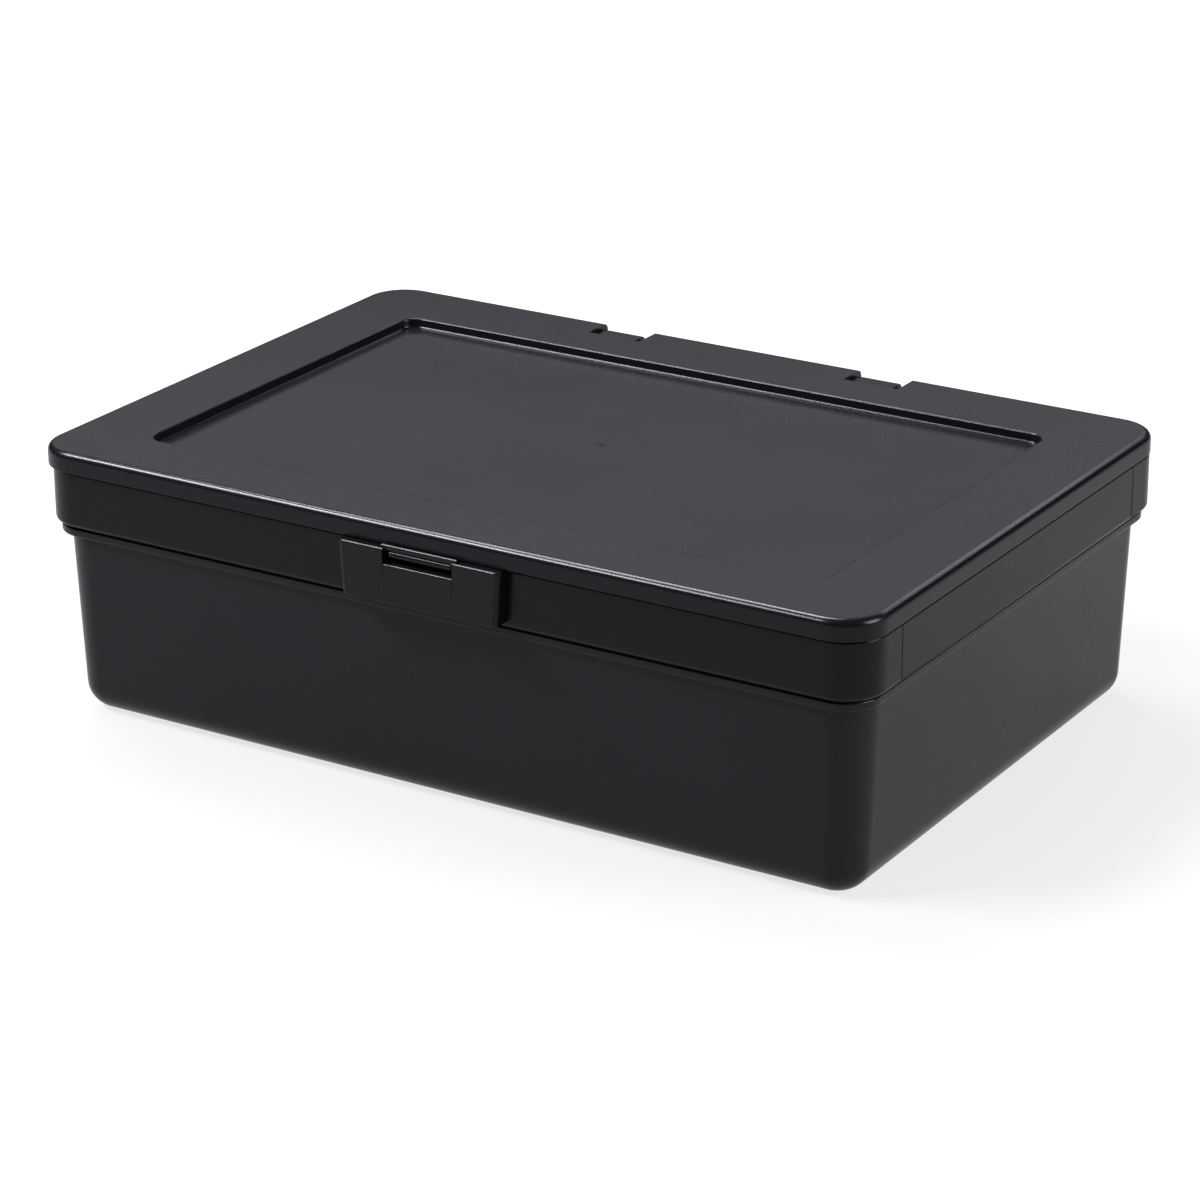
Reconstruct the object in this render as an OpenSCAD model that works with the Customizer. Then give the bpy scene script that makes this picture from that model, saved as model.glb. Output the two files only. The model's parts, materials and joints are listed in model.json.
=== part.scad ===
// Moulded tool box: a drafted tub, a rim frame that caps it, a hinged lid
// with a sprung catch, and a lift-out tray that hangs inside the rim.
// The origin is the centre of the underside, X is the long way and -Y is the front.

/* [Box] */
// Length over the rim frame
box_l = 288.5; // [240:0.5:340]
// Width over the rim frame, front to back
box_w = 195; // [160:1:230]
// Height with the lid closed
box_h = 88.5; // [80:0.5:110]
// Corner radius of the rim frame, seen from above
rim_corner = 13; // [10:0.5:16]

/* [Tub] */
// How far the tub wall sits behind the face of the rim frame
wall_inset = 3.6; // [3:0.1:5]
// How much each wall leans in from the step to the floor
wall_lean = 1.7; // [0.5:0.1:3]
// Wall thickness of the tub
tub_wall = 2.4; // [1.8:0.1:2.6]
// Floor thickness of the tub
tub_floor = 2.6; // [2:0.1:4]
// Corner radius of the tub wall, seen from above
tub_corner = 12.5; // [11:0.5:16]
// Radius where the wall turns into the floor
tub_fillet = 9; // [6:0.5:12]
// Height of the step that stands out under the rim frame
bead_h = 2.8; // [2:0.1:4]
// How far the step sits behind the face of the rim frame
bead_inset = 1.7; // [1.2:0.1:2]
// Open seam between the step and the rim frame
seam = 0.8; // [0.4:0.1:1.5]
// Thickness of the tongue of wall that goes up into the rim frame
spigot = 2; // [1.6:0.1:2.4]

/* [Rim frame] */
// Height of the frame's outer face
band_h = 18; // [14:0.1:20]
// Thickness of the frame's skirt and inner wall
frame_wall = 2.2; // [1.8:0.1:2.6]
// Radius along the skirt's lower edge
skirt_round = 1.6; // [0.8:0.1:2]
// How far the inner wall stands up inside the lid
lip_rise = 3; // [2:0.1:4]
// Distance from the rear face to the inner wall, which leaves room for the hinge
rear_shelf = 12.6; // [12:0.1:16]
// Width of the ledge that the tray hangs on
ledge = 4; // [3:0.1:5]
// Depth of that ledge under the top of the frame
ledge_depth = 3.5; // [3:0.1:5]

/* [Lid] */
// Height of the lid's edge
lid_h = 6.5; // [6:0.1:9]
// How far the lid stands out past the frame at each end
over_side = 0.75; // [0.5:0.05:2]
// How far the lid stands out past the frame at the front
over_front = 1.8; // [1:0.1:2.5]
// How far the lid stops short of the frame at the back
short_rear = 0.6; // [0:0.1:1]
// Radius along the lid's top edge
lid_edge = 2.8; // [2:0.1:3]
// Thickness of the lid
lid_wall = 2.2; // [1.8:0.1:2.4]
// Margin from the lid's ends to the sunk panel
panel_side = 26.8; // [20:0.1:40]
// Margin from the lid's front edge to the sunk panel
panel_front = 24; // [20:0.1:35]
// Margin from the lid's rear edge to the sunk panel
panel_rear = 28.5; // [24:0.1:40]
// Depth of the sunk panel
panel_depth = 3; // [1.5:0.1:3.4]
// Corner radius of the sunk panel
panel_corner = 5.5; // [3:0.5:10]

/* [Hinge] */
// Distance from the middle of the box to the middle of each hinge notch
hinge_x = 48; // [40:1:90]
// Width of each hinge notch in the lid
notch_w = 19.5; // [18:0.5:26]
// Depth of each hinge notch, from the lid's rear edge
notch_d = 12; // [11:0.1:13]
// Width of the knuckle that stands in each notch
knuckle_w = 15.2; // [12:0.1:17]
// Radius of the knuckle
knuckle_r = 2.6; // [2.2:0.1:3]
// Radius of the hinge pin
pin_r = 1.2; // [1:0.1:1.4]
// How far the pin runs into the lid on each side of its notch
pin_grip = 7.5; // [5:0.5:10]

/* [Latch] */
// Width of the latch plate
plate_w = 57; // [45:1:70]
// How far the latch plate stands out from the frame
plate_d = 4.6; // [4.4:0.1:6]
// Height of the latch plate
plate_h = 17; // [14:0.1:17.5]
// Width of the finger window in the latch plate
window_w = 24.4; // [20:0.1:30]
// Depth of the finger window under the top of the plate
window_h = 4.7; // [4.5:0.1:6]

/* [Tray] */
// Depth of the tray under its rim
tray_d = 30; // [22:1:32]
// Wall thickness of the tray
tray_wall = 1.8; // [1.4:0.1:2.2]
// Thickness of the tray's rim and floor
tray_floor = 2; // [1.6:0.1:2.4]
// Radius where the tray's wall turns into its floor
tray_fillet = 4; // [3:0.5:6]
// How much each wall of the tray leans in from rim to floor
tray_lean = 1; // [0.4:0.1:2]
// Distance of the front dividers from the middle
split_x = 44; // [30:1:60]
// Height of the grip wall above the tray's rim
grip_rise = 2.2; // [1:0.1:2.4]
// Length of the finger slot in the grip wall
grip_slot = 74; // [60:1:90]
// Height of the finger slot
grip_gap = 16; // [14:1:20]

/* [Clearances] */
// Gap between the lid's edge and the rim frame
lid_gap = 0.5; // [0.3:0.1:0.8]
// Gap on each side of the tub's spigot in the rim frame
socket_gap = 0.2; // [0.1:0.05:0.3]
// Radial gap between a hinge pin and its knuckle
pin_gap = 0.05; // [0.02:0.01:0.08]
// Gap round the lid's turning rear edge
swing_gap = 0.65; // [0.4:0.05:0.8]
// Gap between the tray's rim and the frame
tray_gap = 0.6; // [0.4:0.1:1]
// Gap between parts of the catch
catch_gap = 0.4; // [0.3:0.1:0.6]

/* [Hidden] */
$fn = 64;
eps = 0.01;
hair = 0.1;
over = 1;
black = [0.13, 0.13, 0.14];
charcoal = [0.2, 0.2, 0.21];
slate = [0.3, 0.31, 0.33];
steel = [0.62, 0.63, 0.65];

// Heights of the stack, from the top down
cap_z = box_h - lid_h;
rim_top = cap_z - lid_gap;
rim_bottom = rim_top - band_h;
bead_top = rim_bottom - seam;
bead_bottom = bead_top - bead_h;
spigot_top = rim_top - frame_wall;
ledge_z = rim_top - ledge_depth;

// Tub wall, at the height of the step
tub_l = box_l - 2 * wall_inset;
tub_w = box_w - 2 * wall_inset;
spigot_inset = frame_wall + socket_gap;

// Inner wall of the rim frame, which is set further in at the rear
lip_inset = spigot_inset + spigot + socket_gap;
lip_l = box_l - 2 * lip_inset;
lip_w = box_w - lip_inset - rear_shelf;
lip_y = (lip_inset - rear_shelf) / 2;
lip_corner = rim_corner - lip_inset;
hole_l = lip_l - 2 * frame_wall;
hole_w = lip_w - 2 * frame_wall;
hole_corner = lip_corner - frame_wall;

// Lid
lid_l = box_l + 2 * over_side;
lid_w = box_w + over_front - short_rear;
lid_y = -(over_front + short_rear) / 2;
lid_front = -box_w / 2 - over_front;
lid_rear = box_w / 2 - short_rear;
lid_corner = rim_corner + over_side;
lid_under = box_h - lid_wall;
panel_l = lid_l - 2 * panel_side;
panel_w = lid_w - panel_front - panel_rear;
panel_y = lid_front + panel_front + panel_w / 2;
panel_z = box_h - panel_depth;

// Hinge axis: the lid's rear edge is a round bar about it
bar_r = lid_h / 2 + lid_gap;
hinge_y = lid_rear - bar_r;
hinge_z = box_h - bar_r;
bar_skim = 0.05;
trough_r = bar_r + swing_gap;
notch_y = lid_rear - notch_d;
lug_w = pin_grip + 1.5;
pin_l = notch_w + 2 * pin_grip;
knuckle_shift = (notch_w - knuckle_w) / 2 - catch_gap;

// Latch
plate_wall = 2;
plate_round = 1.8;
plate_top = rim_top + 0.2;
window_z = plate_top - window_h;
face_y = -box_w / 2;
plate_y = face_y - plate_d;
bridge_t = 1.3;
bridge_y = lid_front - 0.5 - bridge_t;
bridge_h = 1.7;
bridge_z = cap_z + 0.6 - bridge_h;
peg_r = 1.5;
peg_x = plate_w / 2 - 7;
peg_z = rim_bottom + band_h / 2;
stem_t = 1.4;
stem_y = lid_front + lid_wall + catch_gap;
catch_w = window_w - 2.4;
catch_top = bridge_z - 0.2;
catch_h = 2.3;
catch_y = bridge_y + 0.2;
root_z = lid_under - catch_gap - stem_t / 2;

// Tray
tray_top = ledge_z + tray_floor;
tray_bottom = tray_top - tray_d;
rim_l = hole_l - 2 * tray_gap;
rim_w = hole_w - 2 * tray_gap;
tray_inset = ledge + tray_gap;
pan_l = rim_l - 2 * tray_inset + 2 * tray_gap;
pan_w = rim_w - 2 * tray_inset + 2 * tray_gap;
pan_corner = 7;
rim_round = hole_corner - tray_gap;
grip_bar = 4;

// A rounded rectangle, centred
module rounded(l, w, r) {
    square([l - 2 * r, w], center = true);
    square([l, w - 2 * r], center = true);
    for (sx = [-1, 1], sy = [-1, 1])
        translate([sx * (l / 2 - r), sy * (w / 2 - r)]) circle(r);
}

// A rounded block from height z0 to height z1
module slab(l, w, r, z0, z1) {
    translate([0, 0, z0]) linear_extrude(z1 - z0) rounded(l, w, r);
}

// A box given by its low and high corners
module span(low, high) {
    translate(low) cube(high - low);
}

// Carries a section round a rounded rectangle; x is measured out from the corner centres
module around(l, w, r) {
    for (side = [0, 1, 2, 3]) {
        run = (side % 2 == 0 ? l : w) - 2 * r;
        reach = (side % 2 == 0 ? w : l) / 2 - r;
        rotate(90 * side) {
            translate([-run / 2, reach, 0]) rotate([90, 0, 90]) linear_extrude(run) children();
            translate([run / 2, reach, 0]) rotate_extrude(angle = 90) children();
        }
    }
}

// A flat ring with square edges, wall thick, from height z0 to height z1
module hoop(l, w, r, wall, z0, z1) {
    around(l, w, r) translate([r - wall, z0]) square([wall, z1 - z0]);
}

// A drafted wall with a round foot, drawn as a section; top_r is its outer face at z1
module pan_section(top_r, lean, wall, fillet, z0, z1) {
    foot_r = top_r - lean;
    translate([foot_r - fillet, z0 + fillet]) intersection() {
        difference() {
            circle(fillet);
            circle(fillet - wall);
        }
        translate([0, -fillet]) square(fillet);
    }
    polygon([[foot_r - wall, z0 + fillet], [foot_r, z0 + fillet], [top_r, z1], [top_r - wall, z1]]);
    translate([0, z0]) square([foot_r - fillet, wall]);
}

// An open pan: the section above, carried round, and a flat floor
module pan(l, w, r, lean, wall, fillet, z0, z1) {
    around(l, w, r) pan_section(r, lean, wall, fillet, z0, z1);
    span([r - l / 2, r - w / 2, z0], [l / 2 - r, w / 2 - r, z0 + wall]);
}

// A cylinder along X, centred on x
module rod(r, l, x, y, z) {
    translate([x, y, z]) rotate([0, 90, 0]) cylinder(r = r, h = l, center = true);
}

// The room that the catch moves in, cut through the front of the frame and the spigot
module catch_room(side_gap, floor_z) {
    span([-window_w / 2 - side_gap, face_y - over, floor_z],
         [window_w / 2 + side_gap, face_y + lip_inset, rim_top + over]);
}

// Tub: drafted walls, a step all round and a thin spigot above it
module base_shell() {
    bead_l = box_l - 2 * bead_inset;
    bead_w = box_w - 2 * bead_inset;
    bead_corner = rim_corner - bead_inset;
    bead_wall = wall_inset + tub_wall - bead_inset + over;
    spigot_corner = rim_corner - spigot_inset;
    color(charcoal) difference() {
        union() {
            pan(tub_l, tub_w, tub_corner, wall_lean, tub_wall, tub_fillet, 0, bead_bottom + eps);
            hoop(bead_l, bead_w, bead_corner, bead_wall, bead_bottom, bead_top);
            hoop(box_l - 2 * spigot_inset, box_w - 2 * spigot_inset, spigot_corner, spigot,
                 bead_top - eps, spigot_top);
        }
        catch_room(over, window_z - over);
    }
}

// Section of the frame's skirt, with a round lower edge
module skirt_section() {
    translate([rim_corner - frame_wall, 0]) {
        translate([0, rim_bottom + skirt_round])
            square([frame_wall, band_h - skirt_round]);
        translate([0, rim_bottom]) square([frame_wall - skirt_round, skirt_round + eps]);
        translate([frame_wall - skirt_round, rim_bottom + skirt_round]) intersection() {
            circle(skirt_round);
            translate([0, -skirt_round]) square(skirt_round);
        }
    }
}

// Rim frame: skirt, top deck, inner wall with the tray's ledge, and hinge knuckles
module rim_frame() {
    color(charcoal) difference() {
        union() {
            around(box_l, box_w, rim_corner) skirt_section();
            difference() {
                slab(box_l - frame_wall, box_w - frame_wall, rim_corner - frame_wall / 2,
                     spigot_top, rim_top);
                translate([0, lip_y, 0])
                    slab(hole_l + eps, hole_w + eps, hole_corner, spigot_top - over, rim_top + over);
            }
            translate([0, lip_y, 0]) {
                hoop(lip_l, lip_w, lip_corner, frame_wall, ledge_z - frame_wall, rim_top + lip_rise);
                difference() {
                    slab(lip_l - frame_wall, lip_w - frame_wall, lip_corner - frame_wall / 2,
                         ledge_z - frame_wall, ledge_z);
                    slab(hole_l - 2 * ledge, hole_w - 2 * ledge, pan_corner,
                         ledge_z - 2 * frame_wall, ledge_z + over);
                }
            }
        }
        rod(trough_r, box_l + 2 * over, 0, hinge_y, hinge_z);
        catch_room(0, window_z);
        for (side = [-1, 1])
            translate([side * peg_x, face_y, peg_z]) rotate([90, 0, 0])
                cylinder(r = peg_r, h = 3 * frame_wall, center = true);
    }
    for (side = [-1, 1]) knuckle(side * hinge_x - knuckle_shift);
}

// One hinge knuckle, standing on the deck, with the pin's bore
module knuckle(x) {
    foot_z = hinge_z - trough_r - frame_wall / 4;
    color(charcoal) difference() {
        union() {
            rod(knuckle_r, knuckle_w, x, hinge_y, hinge_z);
            span([x - knuckle_w / 2, hinge_y - knuckle_r, foot_z],
                 [x + knuckle_w / 2, hinge_y + knuckle_r, hinge_z]);
        }
        rod(pin_r + pin_gap, knuckle_w + over, x, hinge_y, hinge_z);
    }
}

// Latch plate: a shallow cover on the front of the frame with a finger window
module latch_plate() {
    color(black) {
        difference() {
            translate([0, face_y, plate_top - plate_h / 2]) rotate([90, 0, 0])
                linear_extrude(plate_d) rounded(plate_w, plate_h, plate_round);
            span([plate_wall - plate_w / 2, plate_y + plate_wall, plate_top - plate_h + plate_wall],
                 [plate_w / 2 - plate_wall, face_y + over, plate_top - plate_wall]);
            span([-window_w / 2, plate_y - over, window_z],
                 [window_w / 2, face_y + over, plate_top + over]);
        }
        span([-window_w / 2 - over, bridge_y, bridge_z],
             [window_w / 2 + over, bridge_y + bridge_t, bridge_z + bridge_h]);
        for (side = [-1, 1])
            translate([side * peg_x, plate_y + plate_wall / 2, peg_z]) rotate([-90, 0, 0])
                cylinder(r = peg_r, h = plate_d - plate_wall / 2 + frame_wall);
    }
}

// Section of the lid's solid outline, with a round top edge
module lid_section() {
    r = lid_corner;
    square([r, lid_h - lid_edge]);
    square([r - lid_edge, lid_h]);
    translate([r - lid_edge, lid_h - lid_edge]) circle(lid_edge);
}

// Lid: a shallow cap with a sunk panel, notched at the rear for the knuckles
module lid_shell() {
    color(slate) difference() {
        translate([0, lid_y, 0]) {
            translate([0, 0, cap_z]) around(lid_l, lid_w, lid_corner) lid_section();
            span([lid_corner - lid_l / 2, lid_corner - lid_w / 2, cap_z],
                 [lid_l / 2 - lid_corner, lid_w / 2 - lid_corner, box_h]);
        }
        lid_hollow();
        translate([0, panel_y, 0]) slab(panel_l, panel_w, panel_corner, panel_z, box_h + over);
        for (side = [-1, 1])
            span([side * hinge_x - notch_w / 2, notch_y, cap_z - over],
                 [side * hinge_x + notch_w / 2, lid_rear + over, box_h + over]);
        difference() {
            span([-lid_l, hinge_y, cap_z - over], [lid_l, lid_rear + over, hinge_z]);
            rod(bar_r - bar_skim, 2 * lid_l + over, 0, hinge_y, hinge_z);
        }
        for (side = [-1, 1])
            rod(pin_r, pin_l, side * hinge_x, hinge_y, hinge_z);
    }
}

// The hollow under the lid, which leaves the sunk panel and the hinge lugs solid
module lid_hollow() {
    inner_r = lid_corner - lid_wall;
    difference() {
        translate([0, lid_y, 0])
            slab(lid_l - 2 * lid_wall, lid_w - 2 * lid_wall, inner_r, cap_z - over, lid_under);
        translate([0, panel_y, 0])
            slab(panel_l + 2 * lid_wall, panel_w + 2 * lid_wall, panel_corner + lid_wall,
                 panel_z - lid_wall, box_h);
        for (side = [-1, 1])
            span([side * hinge_x - notch_w / 2 - lug_w, hinge_y - bar_r, cap_z],
                 [side * hinge_x + notch_w / 2 + lug_w, lid_rear, box_h]);
        for (side = [-1, 1])
            span([side * hinge_x - notch_w / 2 - lug_w, notch_y - lid_wall,
                  rim_top + lip_rise + lid_gap],
                 [side * hinge_x + notch_w / 2 + lug_w, hinge_y, box_h]);
    }
}

// A hinge pin, pressed in the lid's lugs and free in the knuckle
module hinge_pin(side) {
    color(steel) rod(pin_r, pin_l, side * hinge_x, hinge_y, hinge_z);
}

module hinge_pin_left() {
    hinge_pin(-1);
}

module hinge_pin_right() {
    hinge_pin(1);
}

// Catch: a stem that hangs from the lid, with a bar that bites under the plate's bridge
module latch_catch() {
    bar_low = catch_top - catch_h;
    bar_nose = catch_h / 2;
    color(black) {
        rod(stem_t / 2, catch_w, 0, stem_y + stem_t / 2, root_z);
        span([-catch_w / 2, stem_y, bar_low], [catch_w / 2, stem_y + stem_t, root_z]);
        span([-catch_w / 2, catch_y + bar_nose, bar_low],
             [catch_w / 2, stem_y + stem_t / 2, catch_top]);
        rod(bar_nose, catch_w, 0, catch_y + bar_nose, catch_top - bar_nose);
    }
}

// Tray: a pan with a rim that hangs on the frame's ledge
module lift_out_tray() {
    color(slate) translate([0, lip_y, 0]) {
        pan(pan_l, pan_w, pan_corner, tray_lean, tray_wall, tray_fillet, tray_bottom, tray_top - eps);
        difference() {
            slab(rim_l, rim_w, rim_round, tray_top - tray_floor, tray_top);
            slab(pan_l - 2 * tray_wall, pan_w - 2 * tray_wall, pan_corner - tray_wall,
                 tray_top - 2 * tray_floor, tray_top + over);
        }
    }
}

// Trims a wall that stands in the tray so that its ends and foot meet the pan
module fit_in_tray() {
    half = tray_wall / 2;
    side = tray_lean + half;
    knee = tray_bottom + tray_fillet;
    foot = tray_lean + tray_fillet - sqrt(tray_fillet ^ 2 - (tray_fillet - half) ^ 2) + hair;
    difference() {
        translate([0, lip_y, 0]) intersection() {
            union() {
                slab(pan_l - 2 * side, pan_w - 2 * side, pan_corner - side, knee, tray_top + grip_rise);
                slab(pan_l - 2 * foot, pan_w - 2 * foot, pan_corner - foot, tray_bottom + half, knee + eps);
            }
            children();
        }
        lift_out_tray();
    }
}

// Grip wall: runs the length of the tray, with a finger slot to lift it by
module tray_grip() {
    slot_reach = (grip_slot - grip_gap) / 2;
    slot_z = tray_top + grip_rise - grip_bar - grip_gap / 2;
    color(charcoal) fit_in_tray() difference() {
        span([-pan_l, -tray_wall / 2, tray_bottom], [pan_l, tray_wall / 2, tray_top + grip_rise]);
        span([-slot_reach, -tray_wall, slot_z - grip_gap / 2],
             [slot_reach, tray_wall, slot_z + grip_gap / 2]);
        for (side = [-1, 1])
            translate([side * slot_reach, 0, slot_z]) rotate([90, 0, 0])
                cylinder(r = grip_gap / 2, h = 2 * tray_wall, center = true);
    }
}

// Divider across the front of the tray, from the grip wall to the pan
module tray_divider(side) {
    color(charcoal) fit_in_tray()
        span([side * split_x - tray_wall / 2, -pan_w, tray_bottom],
             [side * split_x + tray_wall / 2, -tray_wall / 2, tray_top - tray_floor]);
}

module tray_divider_left() {
    tray_divider(-1);
}

module tray_divider_right() {
    tray_divider(1);
}

base_shell();
rim_frame();
latch_plate();
lid_shell();
hinge_pin_left();
hinge_pin_right();
latch_catch();
lift_out_tray();
tray_grip();
tray_divider_left();
tray_divider_right();
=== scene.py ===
"""Finished surfaces, materials and studio for a moulded tool box with a lift-out tray.

Most shells are stacks of rounded rectangles. A row holds one rounded rectangle and its height, and the
rows follow a section whose corners are rounded. Sections are worked out in millimetres, in the frame of
the CAD model, and become metres when they are put into a mesh.
"""
import json
import math

import bmesh
import bpy
import numpy as np
from bpy.props import FloatProperty, FloatVectorProperty, PointerProperty
from bpy.types import Operator, Panel, PropertyGroup
from mathutils import Matrix, Vector


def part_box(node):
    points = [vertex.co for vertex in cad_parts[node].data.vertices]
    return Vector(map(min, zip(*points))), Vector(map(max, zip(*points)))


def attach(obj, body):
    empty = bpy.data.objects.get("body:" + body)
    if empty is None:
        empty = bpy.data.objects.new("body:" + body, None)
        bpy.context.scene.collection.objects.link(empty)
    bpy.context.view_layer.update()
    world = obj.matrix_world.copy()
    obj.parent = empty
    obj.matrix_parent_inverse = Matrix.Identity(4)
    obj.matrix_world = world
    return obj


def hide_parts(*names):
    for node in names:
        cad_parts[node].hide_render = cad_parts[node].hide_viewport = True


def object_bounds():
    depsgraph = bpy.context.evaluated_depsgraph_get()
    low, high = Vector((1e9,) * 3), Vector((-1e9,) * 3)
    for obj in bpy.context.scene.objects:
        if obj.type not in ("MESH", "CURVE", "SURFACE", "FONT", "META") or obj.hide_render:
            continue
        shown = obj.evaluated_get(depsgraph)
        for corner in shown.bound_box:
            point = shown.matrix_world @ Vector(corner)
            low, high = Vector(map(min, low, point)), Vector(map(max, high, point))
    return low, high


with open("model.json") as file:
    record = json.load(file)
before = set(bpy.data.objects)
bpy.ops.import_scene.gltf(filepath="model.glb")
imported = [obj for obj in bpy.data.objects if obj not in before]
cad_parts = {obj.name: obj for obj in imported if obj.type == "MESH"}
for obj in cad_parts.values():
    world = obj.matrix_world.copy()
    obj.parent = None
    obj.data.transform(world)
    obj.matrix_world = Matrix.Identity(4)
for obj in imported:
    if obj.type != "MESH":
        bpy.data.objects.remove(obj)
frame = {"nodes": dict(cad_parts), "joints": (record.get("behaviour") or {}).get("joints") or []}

bl_info = {
    "name": "Tool Box With Tray",
    "version": (1, 0, 0),
    "blender": (4, 5, 0),
    "location": "3D View > Sidebar > Tool Box",
    "description": "Builds the finished surfaces of a moulded tool box around its CAD frame",
    "category": "Object",
}

CAD_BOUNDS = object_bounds()
MM = 0.001
CORNER_STEPS = 18
SUPPORT = 0.3
SMALLEST = 0.15
WELD = 1e-6
SHARP_ANGLE = math.radians(36)
SINK = 0.4
PLAIN, LUG, NOTCH, GROOVE = range(4)


def box_mm(node):
    """Lowest and highest corner of a CAD node, in millimetres."""
    low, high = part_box(node)
    return np.array(low) / MM, np.array(high) / MM


LID_HIGH = box_mm("lid_shell")[1]
RIM_HIGH = box_mm("rim_frame")[1]
PLATE_LOW, PLATE_HIGH = box_mm("latch_plate")
CATCH_LOW, CATCH_HIGH = box_mm("latch_catch")
TRAY_LOW, TRAY_HIGH = box_mm("lift_out_tray")
GRIP_HIGH = box_mm("tray_grip")[1]
HINGE = np.array(next(j for j in frame["joints"] if j["name"] == "lid_hinge")["pos_m"]) / MM
HINGE_Y, HINGE_Z = HINGE[1], HINGE[2]
PIN_LOW, PIN_HIGH = box_mm("hinge_pin_right")
HINGE_X = PIN_LOW[0] / 2 + PIN_HIGH[0] / 2

# Rounded rectangles: half length, half width, corner radius, centre y
BAND = (RIM_HIGH[0], RIM_HIGH[1], 13.0, 0.0)
WALL = (BAND[0] - 3.6, BAND[1] - 3.6, 12.5, 0.0)
LID = (LID_HIGH[0], 98.1, 13.75, -1.2)
PANEL = (118.2, 71.85, 5.5, -3.45)
LIP = (139.65, 88.9, 8.4, -4.0)
TRAY_RIM = (TRAY_HIGH[0], (TRAY_HIGH[1] - TRAY_LOW[1]) / 2, 5.6, (TRAY_HIGH[1] + TRAY_LOW[1]) / 2)
PAN = (TRAY_RIM[0] - 4, TRAY_RIM[1] - 4, 7.0, TRAY_RIM[3])

# Heights and places, in millimetres
SEAT_Z, STEP_Z, SPIGOT_Z = 59.9, 62.7, 79.3
SKIRT_Z, DECK_Z, LIP_Z, LEDGE_Z = 63.5, 81.5, 84.5, 78.0
CAP_Z, UNDER_Z, PANEL_Z, TOP_Z = 82.0, 86.3, 85.5, LID_HIGH[2]
FRAME_WALL, LID_WALL, TUB_WALL, TRAY_WALL = 2.2, 2.2, 2.4, 1.8
NOTCH_Y, NOTCH_HALF, LUG_Y, LUG_LONG, LUG_Z = 84.9, 9.75, 86.0, 9.0, 85.0
TROUGH_R, BAR_R, KNUCKLE_R, KNUCKLE_LONG, KNUCKLE_HALF, KNUCKLE_SHIFT = 4.4, 3.7, 2.4, 7.25, 7.6, 1.75
WINDOW_HALF, WINDOW_Z, PLATE_HALF, GROOVE_Y, GROOVE_HALF = 12.2, 77.0, 28.2, 75.5, 0.3

# Studio: floor, room, lights (setting, place, size) and camera, in metres and degrees
FLOOR_HALF, FLOOR_LINES = 6.0, 13
# the view sees the floor's painted glow rise from GLOW_NEAR to GLOW_FAR from the middle, starting GLOW_LIFT
# above the glow
GLOW_NEAR, GLOW_FAR, GLOW_LIFT = 0.12, 0.4, 0.2
ROOM_TOWARD, ROOM_SPAN = (-0.2, 0.8, 0.56), (-0.5, 0.7)
LIGHT_AIM, LIGHT_COLOUR = (0.0, 0.0, 0.05), (0.92, 0.94, 1.0)
LIGHTS = (
    ("key", (-0.9, -0.7, 1.25), (0.8, 0.25)),
    ("top", (-0.65, 0.35, 1.35), (0.9, 0.25)),
    ("side", (1.4, 0.2, 0.8), (0.8, 0.8)),
    ("rear", (-0.85, 1.3, 0.83), (1.5, 0.6)),
    ("edge", (0.1, 1.4, 1.0), (1.0, 0.15)),
)
CAMERA_AIM, CAMERA_FAR = (0, 0, 0.03), 1.2559
CAMERA_TURN, CAMERA_RISE, CAMERA_ROLL = 31.84, 21.72, -0.31
CAMERA_SENSOR, CAMERA_LENS, CAMERA_SHIFT = 36.0, 120.26, (-0.0028, 0.0087)

# Noise lies in this span
NOISE_SPAN = (0.3, 0.7)


# ---------------------------------------------------------------- shapes

def rounded_path(corners, closed=False):
    """Rows of (inset, height, edge) along a line whose corners (inset, height, radius) are rounded.

    At a corner with half angle h the circle of radius r touches both lines r/tan(h) from the corner,
    and its centre stands r/sin(h) away on the bisector. Edge is 1 on the roundings and 0 elsewhere.
    One more row stands just outside each rounding, so that shading stays even on the flats.
    """
    spot = np.array([c[:2] for c in corners], float)
    radius = np.array([c[2] if len(c) > 2 else 0.0 for c in corners], float)
    back, ahead = np.roll(spot, 1, 0) - spot, np.roll(spot, -1, 0) - spot
    if not closed:
        back[0], ahead[-1] = -ahead[0], -back[-1]
    back_long, ahead_long = np.linalg.norm(back, axis=1), np.linalg.norm(ahead, axis=1)
    back, ahead = back / back_long[:, None], ahead / ahead_long[:, None]
    half = np.arccos(np.clip((back * ahead).sum(1), -1, 1)) / 2
    reach = np.where(radius > 0, radius / np.tan(half), 0.0)
    rows = []
    for k, r in enumerate(radius):
        if r <= 0:
            rows.append(np.array([[*spot[k], 0.0]]))
            continue
        across = (back[k] + ahead[k]) / np.linalg.norm(back[k] + ahead[k])
        centre = spot[k] + across * r / math.sin(half[k])
        first, last = spot[k] + back[k] * reach[k] - centre, spot[k] + ahead[k] * reach[k] - centre
        start = math.atan2(first[1], first[0])
        turn = (math.atan2(last[1], last[0]) - start + math.pi) % math.tau - math.pi
        steps = int(np.clip(4 + 1.6 * r, 5, 14))
        angle = start + turn * np.linspace(0, 1, steps + 1)
        arc = np.column_stack([centre[0] + r * np.cos(angle), centre[1] + r * np.sin(angle),
                               np.ones(steps + 1)])
        if back_long[k] - reach[k] - reach[k - 1] > 3 * SUPPORT:
            rows.append(np.array([[*(spot[k] + back[k] * (reach[k] + SUPPORT)), 0.0]]))
        rows.append(arc)
        if ahead_long[k] - reach[k] - reach[(k + 1) % len(radius)] > 3 * SUPPORT:
            rows.append(np.array([[*(spot[k] + ahead[k] * (reach[k] + SUPPORT)), 0.0]]))
    return np.vstack(rows)


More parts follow.
